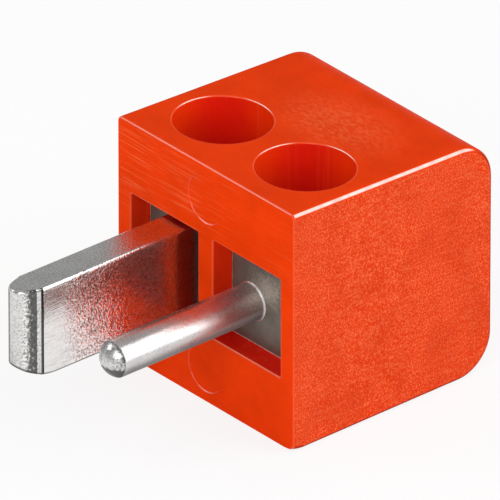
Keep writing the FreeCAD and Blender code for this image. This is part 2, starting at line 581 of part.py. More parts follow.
def main():
    """Builds every sub-part, checks the document and writes one file for each."""
    bodies = [build_housing(), build_blade_contact(), build_pin_contact(),
              build_clamp_screw("blade_clamp_screw", -1), build_clamp_screw("pin_clamp_screw", 1)]
    document.recompute()
    for item in document.Objects:
        if "Invalid" in item.State or "Error" in item.State:
            raise RuntimeError(item.Name + " failed: " + ", ".join(item.State))
    for body in bodies:
        if body.Shape.isNull() or not body.Shape.isValid() or len(body.Shape.Solids) != 1:
            raise RuntimeError(body.Label + " is not one valid solid")
    os.makedirs("parts", exist_ok=True)
    for body in bodies:
        body.Shape.exportStep("parts/" + body.Label + ".step")
        print(body.Label, "volume", round(body.Shape.Volume, 3))


main()
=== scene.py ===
"""Speaker plug: an orange-red moulding with a flat blade, a round pin and two clamp screws."""

import math

import bmesh
import bpy
from bpy.props import FloatProperty, FloatVectorProperty, PointerProperty
from bpy.types import Operator, Panel, PropertyGroup
from mathutils import Matrix, Vector


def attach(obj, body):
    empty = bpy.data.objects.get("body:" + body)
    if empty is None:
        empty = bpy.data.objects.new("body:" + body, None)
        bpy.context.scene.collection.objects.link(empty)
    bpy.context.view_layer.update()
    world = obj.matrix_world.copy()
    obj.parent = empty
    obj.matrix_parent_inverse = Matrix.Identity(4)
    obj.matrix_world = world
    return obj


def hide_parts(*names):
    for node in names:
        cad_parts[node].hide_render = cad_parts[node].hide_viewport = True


bl_info = {
    "name": "Speaker Plug",
    "version": (1, 0, 0),
    "blender": (4, 5, 0),
    "location": "3D View > Sidebar > Plug",
    "description": "Builds the housing, blade, pin and clamp screws of a two-pole speaker plug",
    "category": "Add Mesh",
}

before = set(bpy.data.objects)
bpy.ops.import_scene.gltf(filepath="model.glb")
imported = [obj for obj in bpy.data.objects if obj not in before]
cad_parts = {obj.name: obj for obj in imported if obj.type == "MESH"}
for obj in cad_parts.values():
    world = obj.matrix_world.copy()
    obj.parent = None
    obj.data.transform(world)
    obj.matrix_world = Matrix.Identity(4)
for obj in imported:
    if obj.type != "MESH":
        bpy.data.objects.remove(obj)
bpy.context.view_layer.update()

MM = 0.001
NEAR = 1e-6             # slack where places are compared, in metres
MERGE = 1e-7            # vertices nearer to each other than this become one
CUT_SLACK = 1e-8        # vertices nearer to a cutting plane than this lie on it
PAST = MM               # how far a cutting tool reaches past the face that it goes through

# Facets of the roundings and of the round parts
BACK_STEPS, EDGE_STEPS, CORNER_STEPS, RIM_STEPS = 22, 6, 5, 4
NOSE_STEPS, LEAD_STEPS, DOME_STEPS, FLARE_STEPS = 10, 9, 12, 4
BORE_STEPS, TAPPED_STEPS, WIRE_STEPS, PIN_STEPS = 96, 72, 64, 72

FLAT = 0.97                 # how squarely, at least, a flat side of the housing faces outwards
FOLD = math.radians(20)     # how far, at least, the edge of an opening is folded

# Material slots of the housing, of the blade's piece and of the pin's piece
SMOOTH, FRONT, GRAINED, INSIDE, RIMS, LIPS = range(6)
CAST, POLISHED, BLADE_BLOCK = range(3)
DRAWN, PIN_BLOCK = range(2)

# Directions that the painted highlights, painted light, painted shade and painted dark
# reflections on the surface face
DOWN = (0, 0, -1)
LOW_RIGHT = (0.6, 0, -0.8)
HIGH_RIGHT, HIGH_LEFT, HIGH_FRONT = (0.72, 0, 0.694), (-0.72, 0, 0.694), (0, -0.7, 0.714)
LIP_LEFT = (0.7, 0, 0.714)
BACK_RIGHT, FRONT_LEFT = (0.65, 0.76, 0), (-0.65, -0.76, 0)
UNDER_TIP = (-0.5, 0, -0.87)

# The camera's aim, and its lens in millimetres: so long a lens gives an almost flat view
AIM_POINT = Vector((0.9551, 2.6437, 1.7453)) * MM
LENS, SENSOR = 1700, 36
FLOOR_REACH = 0.6       # middle of the floor to its sides, in metres
LAMP_AIM = (0, 0.004, 0)
LAMPS = (   # name, direction from the plug, distance, width and height in metres, power in watts
    ("key_lamp", (0.62, 0.55, 0.46), 0.30, 0.26, 0.38, 0.62),
    ("fill_lamp", (0.45, -0.75, 0.50), 0.34, 0.22, 0.22, 0.44),
    ("edge_lamp", (-0.62, -0.51, 0.60), 0.34, 0.10, 0.10, 0.16),
)


# Sizes and colours that a user would change

def length_property(name, millimetres, description):
    """A length in metres, given here in millimetres."""
    return FloatProperty(name=name, description=description, default=millimetres * MM,
                         unit="LENGTH", precision=5)


def colour_property(name, colour, description):
    """A colour as red, green and blue, as a shader takes them."""
    return FloatVectorProperty(name=name, description=description, default=colour, size=3,
                               subtype="COLOR", min=0.0, max=1.0)


class HousingSettings(PropertyGroup):
    """The moulding that holds the two contacts."""
    half_width: length_property("Half width", 8.0,
                                "Middle of the plug to a side at the mating face")
    bottom: length_property("Bottom", -8.0, "Level of the flat bottom")
    top: length_property("Top", 8.0, "Level of the top at the mating face")
    depth: length_property("Depth", 15.6, "Mating face to back")
    side_draft: FloatProperty(name="Side draft", description="Lean of each side towards the back",
                              default=math.radians(0.55), subtype="ANGLE")
    top_draft: FloatProperty(name="Top draft", description="Fall of the top towards the back",
                             default=math.radians(1.8), subtype="ANGLE")
    back_top_radius: length_property("Back top radius", 2.55, "Rounding between top and back")
    back_bottom_radius: length_property("Back bottom radius", 2.6,
                                        "Rounding between bottom and back")
    edge_radius: length_property("Edge radius", 0.35, "Rounding round each side")
    front_edge_radius: length_property("Front edge radius", 0.14, "Rounding round the mating face")
    blunt_reach: length_property("Blunt corner reach", 0.85,
                                 "How far the blunt lower front corners go")
    blunt_rise: length_property("Blunt corner rise", 0.26,
                                "How far those corners stand off the bottom")
    chamber_near: length_property("Chamber near side", 0.68, "Middle of the plug to a chamber")
    chamber_far: length_property("Chamber far side", 6.78,
                                 "Middle of the plug to a chamber's far wall")
    chamber_floor: length_property("Chamber floor", -3.38, "Level of the chamber floors")
    chamber_ceiling: length_property("Chamber ceiling", 3.22, "Level of the chamber ceilings")
    chamber_depth: length_property("Chamber depth", 8.03, "Mating face to the end of a chamber")
    chamber_corner: length_property("Chamber corner radius", 0.12,
                                    "Rounding of a chamber's corners")
    chamber_rim: length_property("Chamber rim radius", 0.1, "Rounding of a chamber's mouth")
    access_radius: length_property("Screwdriver hole radius", 3.0, "Radius of the holes in the top")
    access_rim: length_property("Screwdriver hole rim", 0.12,
                                "Rounding of a screwdriver hole's mouth")
    screw_setback: length_property("Screw setback", 4.54, "Mating face to the screw axes")
    entry_radius: length_property("Wire entry radius", 2.0, "Radius of the holes in the back")
    entry_level: length_property("Wire entry level", -1.28, "Level of the wire entries")
    entry_lead: length_property("Wire entry lead", 0.6, "Chamfer at the mouth of a wire entry")
    mark_radius: length_property("Ejector mark radius", 1.6,
                                 "Radius of the marks in the mating face")
    mark_depth: length_property("Ejector mark depth", 0.06, "Depth of the marks in the mating face")
    mark_level: length_property("Ejector mark level", 5.7, "Marks above and below the middle")
    plastic: colour_property("Plastic", (0.86, 0.046, 0.0012), "Colour of the moulding")
    # Painted shade: a deeper red than the plastic for the walls inside the openings
    plastic_deep: colour_property("Deep plastic", (0.85, 0.014, 0.004),
                                  "Colour inside the openings")
    # Painted highlight: the rims are a little paler than the plastic; their higher specular is real
    # gloss
    plastic_rim: colour_property("Rim plastic", (0.88, 0.062, 0.005), "Colour of the rims")
    # Also the colour of the painted sheen on the top
    plastic_pale: colour_property("Pale plastic", (1.0, 0.25, 0.09),
                                  "Colour of specks and tool marks, and of the painted sheen")
    # Painted highlight: the pale colour of the roundings that face the lamps
    plastic_highlight: colour_property("Highlight plastic", (1.0, 0.78, 0.70), "Colour of the rubbed edges")
    # Painted shade: the dark colour of the roundings along the lower and back edges
    plastic_shade: colour_property("Shaded plastic", (0.28, 0.02, 0.005),
                                   "Colour of the dimmed edges")


class ContactSettings(PropertyGroup):
    """The plated blade, pin and terminal blocks."""
    block_near: length_property("Block near side", 0.74, "Middle of the plug to a block")
    block_far: length_property("Block far side", 6.72, "Middle of the plug to a block's far side")
    block_front: length_property("Block front", 1.38, "Mating face to a block")
    block_back: length_property("Block back", 7.88, "Mating face to the back of a block")
    block_bottom: length_property("Block bottom", -3.38, "Level of a block's bottom")
    block_top: length_property("Block top", 3.10, "Level of a block's top")
    block_edge: length_property("Block edge radius", 0.12, "Rounding of a block's edges")
    tapped_radius: length_property("Tapped hole radius", 2.0, "Radius of the hole for a screw")
    tapped_floor: length_property("Tapped hole floor", -2.98, "Level of a tapped hole's end")
    wire_radius: length_property("Wire hole radius", 1.5, "Radius of the hole for a wire")
    wire_end: length_property("Wire hole end", 2.08, "Mating face to the end of a wire hole")
    blade_middle: length_property("Blade middle", -2.8, "Place of the blade's middle plane")
    blade_thickness: length_property("Blade thickness", 2.2, "Blade across the plug")
    blade_height: length_property("Blade height", 6.0, "Blade from bottom to top")
    blade_length: length_property("Blade length", 11.05, "Flat sides in front of the mating face")
    nose_length: length_property("Nose length", 1.45, "Nose in front of the flat sides")
    nose_radius: length_property("Nose radius", 0.85, "Rounding of the nose in plan")
    blade_edge: length_property("Blade edge radius", 0.2, "Rounding of the blade's edges")
    lead_radius: length_property("Lead-in radius", 4.3, "Curve under the blade's tip")
    lead_length: length_property("Lead-in length", 2.6, "How far that curve goes back")
    pin_middle: length_property("Pin middle", 2.6, "Place of the pin's axis")
    pin_level: length_property("Pin level", -0.53, "Level of the pin's axis")
    pin_radius: length_property("Pin radius", 1.165, "Radius of the pin")
    pin_length: length_property("Pin length", 9.22, "Straight pin in front of the mating face")
    pin_dome: length_property("Pin dome", 0.75, "Length of the pin's domed nose")
    crease_width: length_property("Crease width", 0.15, "Groove where the nose meets the blade")
    crease_depth: length_property("Crease depth", 0.05, "Depth of that groove")
    metal: colour_property("Plating", (0.66, 0.655, 0.645), "Colour of the plated contacts")
    block_metal: colour_property("Block plating", (0.17, 0.148, 0.125),
                                 "Colour of the terminal blocks")
    # Painted highlight: the pale colour of the lines along a block's edges, and of the painted
    # reflection on the pin's block
    block_highlight: colour_property("Block highlight", (0.86, 0.76, 0.64),
                               "Colour of the rubbed edges of a block")
    # Dark colour of the pits, and of the painted dark reflections and painted shade on the plating
    pits_and_shade: colour_property("Pits and shade", (0.07, 0.07, 0.07), "Colour of the dull bands and pits")
    # Painted glints: the bright grains are lighter than the plating; the grain itself is real
    # texture
    glint: colour_property("Glint", (0.98, 0.95, 0.91),
                           "Colour of the bright grains in the casting")
    steel: colour_property("Steel", (0.52, 0.51, 0.49), "Colour of the clamp screws")


class StageSettings(PropertyGroup):
    """Camera, lamps and floor."""
    azimuth: FloatProperty(name="Azimuth", description="Camera's turn about the upright axis",
                           default=math.radians(49.58), subtype="ANGLE")
    elevation: FloatProperty(name="Elevation", description="Camera's height above level",
                             default=math.radians(29.49), subtype="ANGLE")
    distance: FloatProperty(name="Distance", description="Camera to the aim point",
                            default=1.3889, unit="LENGTH")
    floor_colour: colour_property("Floor", (0.97, 0.97, 0.97), "Colour of the floor")
    sky_level: FloatProperty(name="Sky level", description="Strength of the plain surroundings",
                             default=0.45)


# Small helpers for meshes

def add_box(bm, low, high):
    """A box between two corners, in metres; returns its vertices."""
    low, high = Vector(low), Vector(high)
    grown = Matrix.Translation((low + high) / 2) @ Matrix.Diagonal((*(high - low), 1))
    return bmesh.ops.create_cube(bm, size=1.0, matrix=grown)["verts"]


def add_round_bar(bm, centre, axis, radius, start, end, steps=BORE_STEPS, end_radius=None):
    """A round bar along an axis ("Y" or "Z") between two levels, closed at both ends."""
    turn = Matrix.Rotation(math.radians(-90), 4, "X") if axis == "Y" else Matrix.Identity(4)
    middle = Vector(centre)
    middle["XYZ".index(axis)] = (start + end) / 2
    last = radius if end_radius is None else end_radius
    bmesh.ops.create_cone(bm, cap_ends=True, segments=steps, radius1=radius, radius2=last,
                          depth=end - start, matrix=Matrix.Translation(middle) @ turn)


def bevel(bm, edges, amount, steps, clamp=True):
    """Rounds edges; the amount is how far the rounding reaches along a face. Returns new faces."""
    return bmesh.ops.bevel(bm, geom=edges, offset=amount, offset_type="OFFSET", affect="EDGES",
                           segments=steps, profile=0.5, material=-1, clamp_overlap=clamp)["faces"]


def cut_through(bm, point, normal):
    """Splits the faces that a plane crosses."""
    bmesh.ops.bisect_plane(bm, geom=bm.verts[:] + bm.edges[:] + bm.faces[:], dist=CUT_SLACK,
                           plane_co=point, plane_no=normal)


def edges_where(bm, test):
    """Edges whose two end points both pass the test."""
    return [edge for edge in bm.edges if all(test(vert.co) for vert in edge.verts)]


def span(edge, axis):
    """How far an edge reaches along an axis, 0 to 2."""
    return abs(edge.verts[0].co[axis] - edge.verts[1].co[axis])


def to_object(bm, name):
    """Turns a bmesh into an object at the origin."""
    bmesh.ops.recalc_face_normals(bm, faces=bm.faces[:])
    mesh = bpy.data.meshes.new(name)
    bm.to_mesh(mesh)
    bm.free()
    piece = bpy.data.objects.new(name, mesh)
    bpy.context.scene.collection.objects.link(piece)
    return piece


def combine(piece, tool_bm, operation):
    """Cuts a tool from a piece or joins it on, and keeps the result in the piece's mesh."""
    tool = to_object(tool_bm, piece.name + "_tool")
    modifier = piece.modifiers.new(operation.lower(), "BOOLEAN")
    modifier.operation = operation
    modifier.solver = "EXACT"
    modifier.object = tool
    bpy.context.view_layer.update()
    evaluated = piece.evaluated_get(bpy.context.evaluated_depsgraph_get())
    result = bpy.data.meshes.new_from_object(evaluated)
    piece.modifiers.clear()
    old = piece.data
    piece.data = result
    result.name = old.name + "_cut"
    bpy.data.meshes.remove(old)
    bpy.data.objects.remove(tool)
    if not result.polygons:
        raise RuntimeError(piece.name + " has no faces left after " + operation)


def edit(piece):
    """The piece's mesh as a bmesh, with doubles merged."""
    bm = bmesh.new()
    bm.from_mesh(piece.data)
    bmesh.ops.remove_doubles(bm, verts=bm.verts[:], dist=MERGE)
    return bm


def finish_mesh(piece, bm, sharp_degrees):
    """Writes a bmesh back and smooths it with the large faces kept flat."""
    bmesh.ops.recalc_face_normals(bm, faces=bm.faces[:])
    bm.to_mesh(piece.data)
    bm.free()
    piece.data.shade_smooth()
    piece.data.set_sharp_from_angle(angle=math.radians(sharp_degrees))
    weighted = piece.modifiers.new("flat_faces", "WEIGHTED_NORMAL")
    weighted.keep_sharp = True
    weighted.weight = 100


def give_materials(piece, *materials):
    for material in materials:
        piece.data.materials.append(material)


# Small helpers for materials. The scales of noise are in cells to the metre.

class Tree:
    """Adds nodes to a material or world and links them."""

    def __init__(self, owner):
        owner.use_nodes = True
        self.tree = owner.node_tree
        self.tree.nodes.clear()

    def add(self, kind, inputs=None, **settings):
        """Adds a node. Each input is a value, or the socket that is linked to it."""
        node = self.tree.nodes.new(kind)
        for key, setting in settings.items():
            setattr(node, key, setting)
        for key, given in (inputs or {}).items():
            socket = node.inputs[key]
            if isinstance(given, bpy.types.NodeSocket):
                self.tree.links.new(given, socket)
            else:
                socket.default_value = given
        return node

    def object_pattern(self, scale, shift=(0, 0, 0)):
        """Object coordinates, scaled along each axis and then shifted to place a pattern."""
        coordinates = self.add("ShaderNodeTexCoord").outputs["Object"]
        return self.add("ShaderNodeMapping", {"Vector": coordinates, "Scale": scale,
                                              "Location": shift}).outputs["Vector"]

    def place_along(self, axis):
        """How far along an axis of the plug a point lies, in metres."""
        coordinates = self.add("ShaderNodeTexCoord").outputs["Object"]
        return self.add("ShaderNodeSeparateXYZ", {"Vector": coordinates}).outputs[axis]

    def reach(self, scale, shift):
        """How far a point lies from a spot, in a pattern scaled and shifted as above."""
        spot = self.object_pattern(scale, shift)
        return self.add("ShaderNodeVectorMath", {0: spot}, operation="LENGTH").outputs["Value"]

    def facing(self, direction):
        """How squarely the surface faces a direction, from -1 to 1."""
        normal = self.add("ShaderNodeNewGeometry").outputs["Normal"]
        return self.add("ShaderNodeVectorMath", {0: normal, 1: direction},
                        operation="DOT_PRODUCT").outputs["Value"]

    def noise(self, scale, detail=2.0, roughness=0.5, stretch=(1, 1, 1)):
        pattern = self.object_pattern(stretch)
        return self.add("ShaderNodeTexNoise", {"Vector": pattern, "Scale": scale, "Detail": detail,
                                               "Roughness": roughness}).outputs["Fac"]

    def remap(self, source, low, high, to_low, to_high, kind="LINEAR"):
        """Turns the range from low to high into that from to_low to to_high, and clamps it."""
        return self.add("ShaderNodeMapRange", {
            "Value": source, "From Min": low, "From Max": high, "To Min": to_low,
            "To Max": to_high}, interpolation_type=kind).outputs["Result"]

    def ramp(self, source, low, high, to_low, to_high):
        """As remap, with soft ends."""
        return self.remap(source, low, high, to_low, to_high, "SMOOTHSTEP")

    def math(self, operation, first, second=0.0):
        return self.add("ShaderNodeMath", {0: first, 1: second}, operation=operation).outputs[0]

    def times(self, first, second):
        return self.math("MULTIPLY", first, second)

    def bump(self, height, distance, normal=None):
        """Raises the surface by up to a distance in metres, over an earlier normal if given."""
        inputs = {"Height": height, "Strength": 1.0, "Distance": distance}
        if normal is not None:
            inputs["Normal"] = normal
        return self.add("ShaderNodeBump", inputs).outputs["Normal"]

    def blend(self, amount, base, colour):
        """Mixes a plain colour into a base, which is a plain colour or a socket."""
        if not isinstance(base, bpy.types.NodeSocket):
            base = (*base, 1)
        return self.add("ShaderNodeMix", {0: amount, 6: base, 7: (*colour, 1)},
                        data_type="RGBA").outputs[2]

    def finish(self, shader, output="ShaderNodeOutputMaterial"):
        self.add(output, {"Surface": shader})


def scaled(colour, factor):
    return tuple(min(channel * factor, 1.0) for channel in colour)


def clouded(tree, cloud, low, high, colour, dark, light):
    """A colour that a soft noise takes from a darker to a lighter shade of it."""
    return tree.blend(tree.remap(cloud, low, high, 0.0, 1.0), scaled(colour, dark),
                      scaled(colour, light))


def along_plug(tree, stops):
    """A share that changes along the plug, from a list of (place in millimetres, share)."""
    start, stop = stops[0][0] * MM, stops[-1][0] * MM
    place = tree.remap(tree.place_along("Y"), start, stop, 0, 1)
    ramp = tree.add("ShaderNodeValToRGB", {"Fac": place})
    marks = ramp.color_ramp.elements
    while len(marks) < len(stops):
        marks.new(0.5)
    for mark, (where, share) in zip(marks, stops):
        mark.position = (where * MM - start) / (stop - start)
        mark.color = (share, share, share, 1)
    return ramp.outputs["Color"]


# The materials

def plastic(name, s, colour, grain=0.0, specks=0.0, wisps=0.0, drag=0.0, lighter=0.0,
            streaks=0.0, sheen_patch=0.0, roughness=0.42, specular=0.05, highlight_edges=(),
            painted_shade_edges=()):
    """Moulded plastic: grain is the spark-eroded texture with its pale specks and wisps, drag the
    upright lines in the holes, lighter how far the two ends of a hole take the outer colour, a
    painted light, streaks the tool marks across the mating face, and sheen_patch the painted sheen,
    a pale patch, on the top.
    highlight_edges lists (direction, strength) of the roundings that take a painted highlight,
    painted_shade_edges of those that take painted shade.
    """
    material = bpy.data.materials.new(name)
    tree = Tree(material)
    cloud = tree.noise(420.0, detail=3.0)
    base = clouded(tree, cloud, 0.35, 0.65, colour, 0.95, 1.05)
    pits = tree.noise(12500.0 - 3500.0 * grain)
    normal = tree.bump(pits, (0.01 + 0.06 * grain) * MM)
    share = tree.times(tree.remap(pits, 0.40 + 0.06 * grain, 0.72 - 0.04 * grain, 0.0, specks),
                       tree.remap(cloud, 0.36, 0.62, 0.7, 1.15))
    base = tree.blend(share, base, s.plastic_pale)
    if wisps:
        strands = tree.noise(1.0, detail=3.0, roughness=0.6, stretch=(900.0, 700.0, 4200.0))
        base = tree.blend(tree.remap(strands, 0.50, 0.66, 0.0, wisps), base, s.plastic_pale)
    # Painted light inside the holes: walls that face towards or away from BACK_RIGHT are lightened
    # towards the outer colour
    if lighter:
        turned = tree.math("ABSOLUTE", tree.facing(BACK_RIGHT))
        base = tree.blend(tree.ramp(turned, 0.15, 0.95, 0.0, lighter), base, s.plastic)
    if drag:
        upright = tree.noise(1.0, roughness=0.6, stretch=(2000.0, 2000.0, 40.0))
        base = tree.blend(tree.remap(upright, 0.58, 0.70, 0.0, drag), base, s.plastic_pale)
    if streaks:
        lines = tree.noise(1.0, roughness=0.6, stretch=(230.0, 400.0, 15000.0))
        normal = tree.bump(lines, 0.01 * MM * streaks, normal)
        high = tree.ramp(tree.place_along("Z"), 0.5 * MM, 4.5 * MM, 0.2, 1.0)
        left = tree.ramp(tree.place_along("X"), -3.0 * MM, 4.0 * MM, 1.0, 0.25)
        lightened = tree.times(tree.times(high, left),
                            tree.remap(lines, 0.55, 0.68, 0.0, 0.45 * streaks))
        base = tree.blend(lightened, base, s.plastic_pale)
    # Painted sheen: a pale patch on the top, broken up by noise
    if sheen_patch:
        reach = tree.reach((170.0, 260.0, 0.0), (-0.15, -2.5, 0))
        patchiness = tree.noise(1.0, detail=4.0, roughness=0.65, stretch=(2600.0, 5200.0, 1000.0))
        patch = tree.times(tree.ramp(reach, 0.2, 1.0, sheen_patch, 0.0),
                           tree.remap(patchiness, 0.42, 0.66, 0.1, 1.0))
        base = tree.blend(patch, base, s.plastic_pale)
    # Painted highlights: roundings that face each direction are mixed towards the pale highlight
    # colour, broken up by noise
    for direction, strength in highlight_edges:
        band = tree.ramp(tree.facing(direction), 0.93, 0.985, 0.0, strength)
        patches = tree.remap(tree.noise(1300.0, detail=3.0, roughness=0.6), 0.3, 0.6, 0.7, 1.0)
        base = tree.blend(tree.times(band, patches), base, s.plastic_highlight)
    # Painted shade: roundings that face each direction are mixed towards the dark colour, in place
    # of the dark they reflect
    for direction, strength in painted_shade_edges:
        band = tree.ramp(tree.facing(direction), 0.65, 0.92, 0.0, strength)
        base = tree.blend(band, base, s.plastic_shade)
    shine = tree.remap(tree.noise(1500.0, detail=3.0), 0.3, 0.7, roughness - 0.04,
                       roughness + 0.05)
    surface = tree.add("ShaderNodeBsdfPrincipled", {
        "Base Color": base, "Roughness": shine, "IOR": 1.5, "Specular IOR Level": specular,
        "Normal": normal})
    tree.finish(surface.outputs["BSDF"])
    return material


def pitted_metal(tree, c, colour, cloud_scale, dark, light, pitting):
    """A clouded metal colour with fine dark pits; returns it and the noise of the pits."""
    cloud = tree.noise(cloud_scale, detail=4.0)
    base = clouded(tree, cloud, 0.3, 0.7, colour, dark, light)
    pits = tree.noise(8000.0)
    return tree.blend(tree.remap(pits, 0.35, 0.5, pitting, 0.0), base, c.pits_and_shade), pits


def plated(name, c, colour, rough, grain=0.1, cast=None, brushed=None, dull=None,
           darkened_side=None, matt_and_shade=None, edges=()):
    """Bright plated metal. cast, brushed and darkened list how strong the rough casting, the brush
    lines and the painted dark reflections are along the plug; the casting's bright grains are
    painted glints, and the brushed zone is made lighter, a painted reflection. matt_and_shade says
    how dark the painted shade of the matt finish is and then lists how strong it is. darkened_side
    (direction, place in millimetres) paints dark reflections on what faces a direction in front of
    a place. edges lists (direction, low, high, strength) of more painted dark reflection, which
    also loses its shine, by how squarely it faces a direction."""
    material = bpy.data.materials.new(name)
    tree = Tree(material)
    base, fine = pitted_metal(tree, c, colour, 900.0, 0.92, 1.06, 0.35 * grain)
    normal = tree.bump(fine, 0.02 * MM * grain)
    if cast:
        share = along_plug(tree, cast)
        pits = tree.noise(6800.0)
        normal = tree.bump(tree.times(pits, share), 0.04 * MM, normal)
        dark = tree.times(share, tree.remap(pits, 0.32, 0.46, 0.7, 0.0))
        base = tree.blend(dark, base, c.pits_and_shade)
        # Painted glints: bright grains of the casting, mixed towards the glint colour
        bright = tree.times(share, tree.remap(pits, 0.46, 0.60, 0.0, 0.95))
        base = tree.blend(bright, base, c.glint)
    if brushed:
        share = along_plug(tree, brushed)
        strokes = tree.noise(1.0, detail=3.0, roughness=0.6, stretch=(12000.0, 900.0, 12000.0))
        normal = tree.bump(tree.times(strokes, share), 0.01 * MM, normal)
        # Painted reflection: the brushed zone is made lighter
        base = tree.blend(tree.times(share, 0.5), base, scaled(colour, 1.5))
        dark = tree.times(share, tree.remap(strokes, 0.34, 0.5, 0.24, 0.0))
        base = tree.blend(dark, base, c.pits_and_shade)
    # Painted dark reflections: bands along the plug, and what faces darkened_side's direction in
    # front of its place, are mixed towards the dark colour
    if dull:
        direction, limit = darkened_side
        speckle = tree.remap(tree.noise(5200.0, detail=3.0, roughness=0.65), 0.3, 0.7, -0.3, 0.3)
        in_front = tree.ramp(tree.place_along("Y"), limit * MM, (limit - 0.15) * MM, 0.0, 1.0)
        turned = tree.times(tree.ramp(tree.facing(direction), 0.05, 0.35, 0.0, 0.9), in_front)
        edge = tree.math("ADD", tree.math("MAXIMUM", along_plug(tree, dull), turned), speckle)
        base = tree.blend(tree.ramp(edge, 0.25, 0.75, 0.0, 0.92), base, c.pits_and_shade)
    metallic = 1.0
    # Painted dark reflections: what faces each listed direction is darkened and made less metallic
    for direction, low, high, strength in edges:
        share = tree.ramp(tree.facing(direction), low, high, 0.0, strength)
        base = tree.blend(share, base, c.pits_and_shade)
        metallic = tree.math("SUBTRACT", metallic, share)
    shine = tree.remap(tree.noise(2200.0, detail=3.0), 0.3, 0.7, rough - 0.03, rough + 0.05)
    # Painted shade: the first number darkens the matt zone; it is 0 for the pin, which is only made
    # matt
    if matt_and_shade:
        darkness, stops = matt_and_shade
        share = along_plug(tree, stops)
        base = tree.blend(tree.times(share, darkness), base, c.pits_and_shade)
        shine = tree.math("ADD", shine, tree.times(share, 0.28))
    surface = tree.add("ShaderNodeBsdfPrincipled", {
        "Base Color": base, "Metallic": metallic, "Roughness": shine, "Normal": normal,
        "Specular IOR Level": 0.0})
    tree.finish(surface.outputs["BSDF"])
    return material


def block_plating(name, c, left, painted_reflection=None):
    """The matt plating of a block, with a painted highlight, a pale broken line, along its bottom
    edge and the edge towards -X, and a painted reflection, a pale patch, round a place (x, z) in
    metres if one is given."""
    material = bpy.data.materials.new(name)
    tree = Tree(material)
    base, fine = pitted_metal(tree, c, c.block_metal, 700.0, 0.8, 1.25, 0.2)
    bottom = c.block_bottom
    # Painted highlight: a pale broken line along the bottom edge and the edge towards -X
    low = tree.remap(tree.place_along("Z"), bottom + 0.12 * MM, bottom + 0.18 * MM, 1, 0)
    inner = tree.remap(tree.place_along("X"), left + 0.08 * MM, left + 0.13 * MM, 1, 0)
    broken = tree.remap(tree.noise(2600.0, detail=3.0), 0.36, 0.52, 0.25, 1.0)
    lightened = tree.times(tree.math("MAXIMUM", low, inner), broken)
    base = tree.blend(lightened, base, c.block_highlight)
    # Painted reflection: a pale patch on the pin's block, in place of the pin reflected in it
    if painted_reflection:
        x, z = painted_reflection
        wide, high = 700.0, 900.0
        reach = tree.reach((wide, 0.0, high), (-x * wide, 0, -z * high))
        rough_edge = tree.remap(tree.noise(4200.0, detail=4.0, roughness=0.65), 0.3, 0.7,
                                -0.5, 0.5)
        ragged = tree.math("ADD", reach, rough_edge)
        base = tree.blend(tree.ramp(ragged, 0.0, 1.3, 0.4, 0.0), base, scaled(c.block_highlight, 0.8))
    surface = tree.add("ShaderNodeBsdfPrincipled", {
        "Base Color": base, "Metallic": 0.6, "Roughness": 0.5,
        "Normal": tree.bump(fine, 0.01 * MM)})
    tree.finish(surface.outputs["BSDF"])
    return material


# The housing

def hole_line(s, side=1):
    """Where a side's screw and wire entry stand across the plug."""
    return side * (s.chamber_near + s.chamber_far) / 2


def housing_slab(s):
    """The drafted block with its rounded back corners and eased edges, before any opening."""
    bm = bmesh.new()
    add_box(bm, (-s.half_width, 0, s.bottom), (s.half_width, s.depth, s.top))
    for vert in bm.verts:
        if vert.co.y > NEAR and vert.co.z > 0:
            vert.co.z = s.top - s.depth * math.tan(s.top_draft)
    reach = s.back_top_radius * math.tan((math.pi / 2 - s.top_draft) / 2)
    bevel(bm, edges_where(bm, lambda p: p.y > s.depth - NEAR and p.z > 0), reach, BACK_STEPS)
    bevel(bm, edges_where(bm, lambda p: p.y > s.depth - NEAR and p.z < s.bottom + NEAR),
          s.back_bottom_radius, BACK_STEPS)
    for side in (-1, 1):
        lean = Matrix.Identity(4)
        lean[0][1] = -side * math.tan(s.side_draft)
        verts = [vert for vert in bm.verts if vert.co.x * side > 0]
        bmesh.ops.transform(bm, matrix=lean, verts=verts)
    round_sides = [edge for edge in bm.edges if span(edge, 0) <= s.half_width
                   and sum(vert.co.y for vert in edge.verts) / 2 > NEAR]
    bevel(bm, round_sides, s.edge_radius, EDGE_STEPS)
    bevel(bm, edges_where(bm, lambda p: abs(p.y) < NEAR), s.front_edge_radius, RIM_STEPS)
    blunt_corners(bm, s)
    return bm


def blunt_corners(bm, s):
    """Lifts the two lower front corners, which are rounder than the edges that meet there."""
    for share in (0.6, 1.0):
        reach = share * s.blunt_reach
        cut_through(bm, (s.half_width - reach, 0, 0), (1, 0, 0))
        cut_through(bm, (reach - s.half_width, 0, 0), (1, 0, 0))
        cut_through(bm, (0, reach, 0), (0, 1, 0))
    for vert in bm.verts:
        away = max(s.half_width - abs(vert.co.x), vert.co.y)
        if vert.co.z < s.bottom + s.edge_radius + NEAR and away < s.blunt_reach:
            vert.co.z += s.blunt_rise * (1 - away / s.blunt_reach) ** 2


